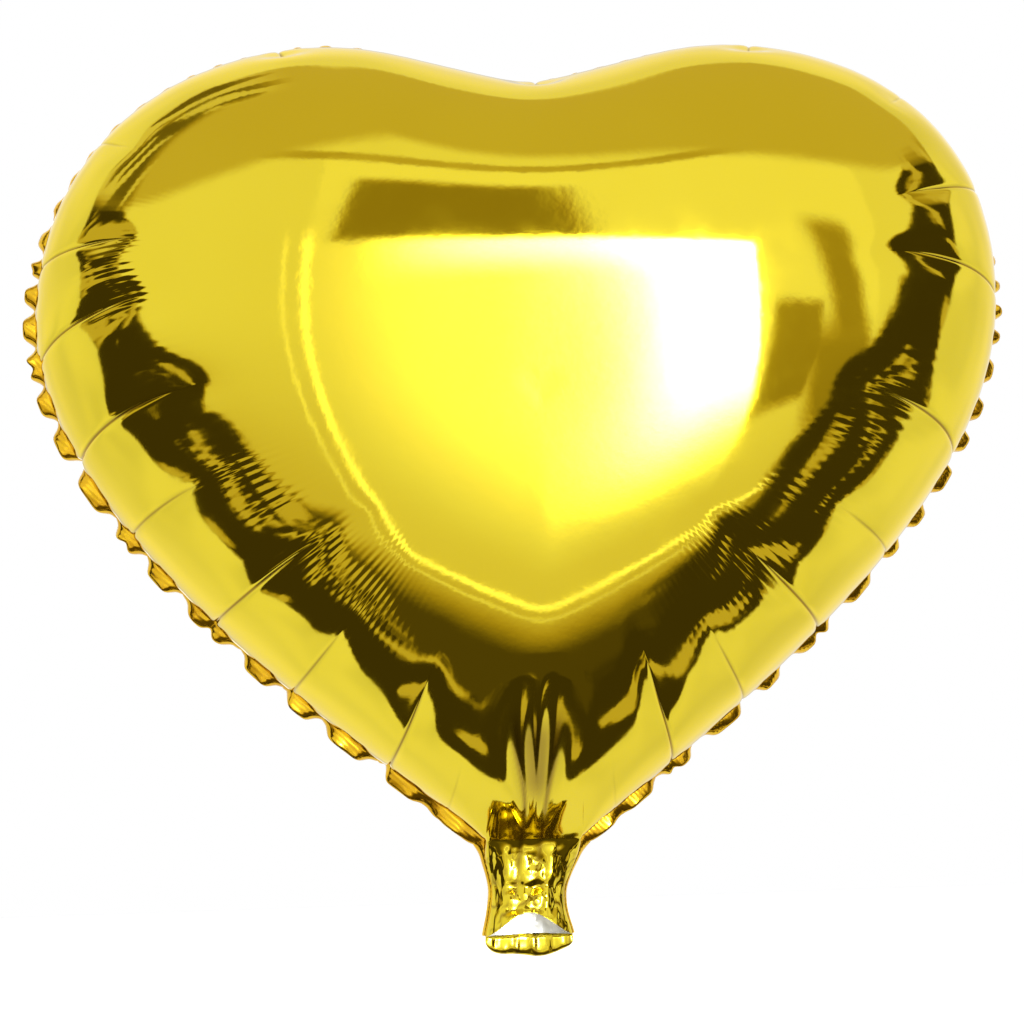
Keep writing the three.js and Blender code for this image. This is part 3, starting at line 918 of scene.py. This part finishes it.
def studio():
    """The studio as the world, seen in the foil: a wall in front with a bright window on its right, thin
    frame lines and plain dark shapes, a mid-tone ceiling, dark streaked sides and a pale room behind. A
    direction is (dx, dy, dz), and its place on the wall (px, pz) is how far right and up it points for each
    step forwards. The background itself is plain white, and matte surfaces get even light."""
    world = bpy.data.worlds.new("studio")
    bpy.context.scene.world = world
    world.use_nodes = True
    tree = Tree(world.node_tree)
    direction = tree.node("ShaderNodeTexCoord", None, None, "Generated")
    dx, dy, dz = (tree.node("ShaderNodeSeparateXYZ", None, {0: direction}, axis) for axis in "XYZ")
    ahead = (0.0 - dy).math("MAXIMUM", 0.08)
    px, pz = dx / ahead, dz / ahead

    def box(x0, x1, z0, z1, soft, slant=0.0):
        """1 inside a rectangle on the wall in front, fading over soft, with its sides leaning by slant."""
        across = px + pz * slant
        sides = across.step(x0 - soft, x0 + soft) * across.step(x1 + soft, x1 - soft)
        return sides * pz.step(z0 - soft, z0 + soft) * pz.step(z1 + soft, z1 - soft)

    def frame_line(left, low, width, soft):
        """1 on a line along the left and lower edges of the wall's panel, which has no right or upper edge."""
        far = 1.4
        return box(left, far, low, far, soft) - box(left + width, far, low + width, far, soft)

    def over(light, cover, share):
        """The light with a share of it replaced by cover."""
        return light * (1 - share) + cover * share

    aside = dx.math("ABSOLUTE")
    up = dz.math("MAXIMUM", 0.0)

    # the wall in front, with two frame lines round its panel, and the window
    light = 1.02 - 0.10 * (1 - box(-0.28, 1.4, -0.40, 1.4, 0.01)) - 0.22 * pz.step(0.3, -0.4)
    below_top = pz.step(0.62, 0.45)
    light = light + 0.9 * frame_line(-0.295, -0.415, 0.025, 0.008) * below_top
    light = light + 0.35 * frame_line(-0.36, -0.47, 0.015, 0.006) * below_top
    frame_edges = px.step(0.505, 0.475) * pz.step(0.50, 0.45)
    glow = px.step(-0.30, 0.42) * pz.step(-0.30, 0.36)
    core = px.step(0.02, 0.32) * pz.step(-0.24, 0.14)
    band = pz.step(0.28, 0.44) * px.step(-0.16, 0.12)
    light = light + frame_edges * (2.6 * glow + 45.0 * core * core + 14.0 * band)
    light = light * (1 - 0.88 * pz.step(-0.40, -0.72) * dz.step(0.0, -0.3))
    patch = (px - pz * 0.10).step(-0.29, -0.25) * px.step(0.17, 0.12)
    patch = patch * pz.step(0.47, 0.51) * pz.step(1.04, 0.92)
    light = light * (1 - 0.70 * patch)
    shapes = box(0.52, 0.78, -0.08, 0.24, 0.03, -0.22) + box(1.00, 1.30, 0.16, 0.64, 0.08, 0.42)
    shapes = shapes + box(0.78, 1.36, -0.24, 0.16, 0.09, 0.30)
    light = light * (1 - 0.62 * shapes.math("MINIMUM", 1.0))

    # the ceiling, with a dark slot before it
    light = light * (1 - 0.45 * dz.step(0.775, 0.79) * dz.step(0.825, 0.81) * aside.step(0.42, 0.30))
    ceiling = (dz + aside * 0.42).step(0.88, 0.94) * dz.step(0.45, 0.60)
    light = over(light, 0.62, ceiling)

    # the dark sides, streaked along the seam
    inner_edge = 0.8 * (dz + 0.2).math("MAXIMUM", 0.0) + 0.75 * (-0.45 - dz).math("MAXIMUM", 0.0) - 0.78
    spread = tree.node("ShaderNodeCombineXYZ", None, {"X": dy * 3.2, "Y": dz * 1.4, "Z": dx * 1.4})
    streaks = tree.noise(spread, 1.6, 2.0)
    clutter = tree.noise(direction, 4.5, 2.0)
    flags = (dy - inner_edge + clutter * 0.16).step(0.06, 0.11) * dz.step(0.66, 0.50)
    light = over(light, 0.05 + 0.55 * streaks.step(0.55, 0.63), flags)

    # a beamed corner high on the left
    corner = (dy - up * 0.65).step(-0.62, -0.50) * dz.step(0.50, 0.62) * dx.step(-0.12, -0.30)
    beams = tree.noise(tree.node("ShaderNodeCombineXYZ", None, {"X": dy * 5.0, "Y": dx * 1.5}), 2.0, 1.0)
    light = over(light, 0.16 + 0.6 * beams.step(0.48, 0.54), corner)

    # the pale room behind, with one brighter opening in it
    deep = (-0.75 - dz).math("MAXIMUM", 0.0)
    surround = (dy - up * 0.65 - deep * 0.8).step(-0.15, -0.11)
    pale = 0.80 + 0.14 * tree.noise(direction, 2.2, 1.0).step(0.3, 0.7) + 0.12 * dy.step(0.3, 0.8)
    light = over(light, pale, surround)
    astern = dy.math("MAXIMUM", 0.05)
    bx, bz = dx / astern, dz / astern
    opening = bx.step(-0.24, -0.20) * bx.step(0.22, 0.16) * bz.step(-0.20, -0.16) * bz.step(0.26, 0.20)
    light = light + dy.step(0.90, 0.95) * (0.7 * opening - 0.22)

    # what the camera and matte surfaces get instead
    seen = tree.node("ShaderNodeLightPath", None, None, "Is Camera Ray")
    matte = tree.node("ShaderNodeLightPath", None, None, "Is Diffuse Ray")
    strength = over(over(light, 1.4, matte), 1.0, seen)
    warm = tree.mix(light.step(1.0, 0.35) * (1 - surround) * (1 - seen), (1.0, 1.0, 1.0), (1.0, 0.78, 0.22))
    background = tree.node("ShaderNodeBackground", None, {"Color": warm, "Strength": strength})
    tree.node("ShaderNodeOutputWorld", None, {"Surface": background})


def floor():
    """A plain floor 0.45 m below the hovering balloon. It doesn't show in the foil."""
    half, z = 4.0, CAD_BOX[0][2] - 0.45
    corners = [(-half, -half, z), (half, -half, z), (half, half, z), (-half, half, z)]
    made = mesh_object("studio_floor", corners, [[0, 1, 2, 3]])
    made.data.materials.append(floor_paint())
    made.visible_glossy = False


def camera():
    """A long lens about a metre in front, a little to the left and below, rolled by about a degree."""
    azimuth, elevation, roll = math.radians(4.5), math.radians(-2.0), math.radians(-1.4)
    distance, target = 0.998, Vector((-0.0050, 0.0, 0.1316))
    away = Vector((
        -math.sin(azimuth) * math.cos(elevation),
        -math.cos(azimuth) * math.cos(elevation),
        math.sin(elevation),
    ))
    data = bpy.data.cameras.new("camera")
    data.sensor_width, data.lens = 36, 89.5078125
    made = bpy.data.objects.new("camera", data)
    bpy.context.scene.collection.objects.link(made)
    made.location = target + distance * away
    made.rotation_mode = "QUATERNION"
    made.rotation_quaternion = (-away).to_track_quat("-Z", "Y") @ Quaternion((0, 0, 1), roll)
    bpy.context.scene.camera = made


# ---------------------------------------------------------------- the balloon


def balloon():
    """The two foil sheets, the band that joins them, and the two films of the valve."""
    gold, seam, silver, clear = gold_foil(), seam_gold(), silver_lining(), clear_film()
    sheets = (
        ("front_foil_sheet", -1, "front_panel", "neck_front"),
        ("back_foil_sheet", 1, "back_panel", "neck_back"),
    )
    for name, side, panel, neck in sheets:
        sheet = foil_sheet(name, side)
        sheet.data.materials.append(gold)
        sheet.data.materials.append(silver)
        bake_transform(sheet)
        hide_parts(panel, neck)
    band = seam_band("heat_sealed_band")
    band.data.materials.append(seam)
    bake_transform(band)
    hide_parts("seam_flange", "neck_left_seam", "neck_right_seam")
    films = (
        ("front_film_strip", -1, "valve_front_film", "front_film"),
        ("back_film_strip", 1, "valve_back_film", "back_film"),
    )
    for name, side, node, body in films:
        film = valve_film(name, node, side)
        film.data.materials.append(clear)
        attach(film, body)
        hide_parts(node)


camera()
studio()
floor()
balloon()
bpy.context.scene.view_settings.view_transform = "Standard"
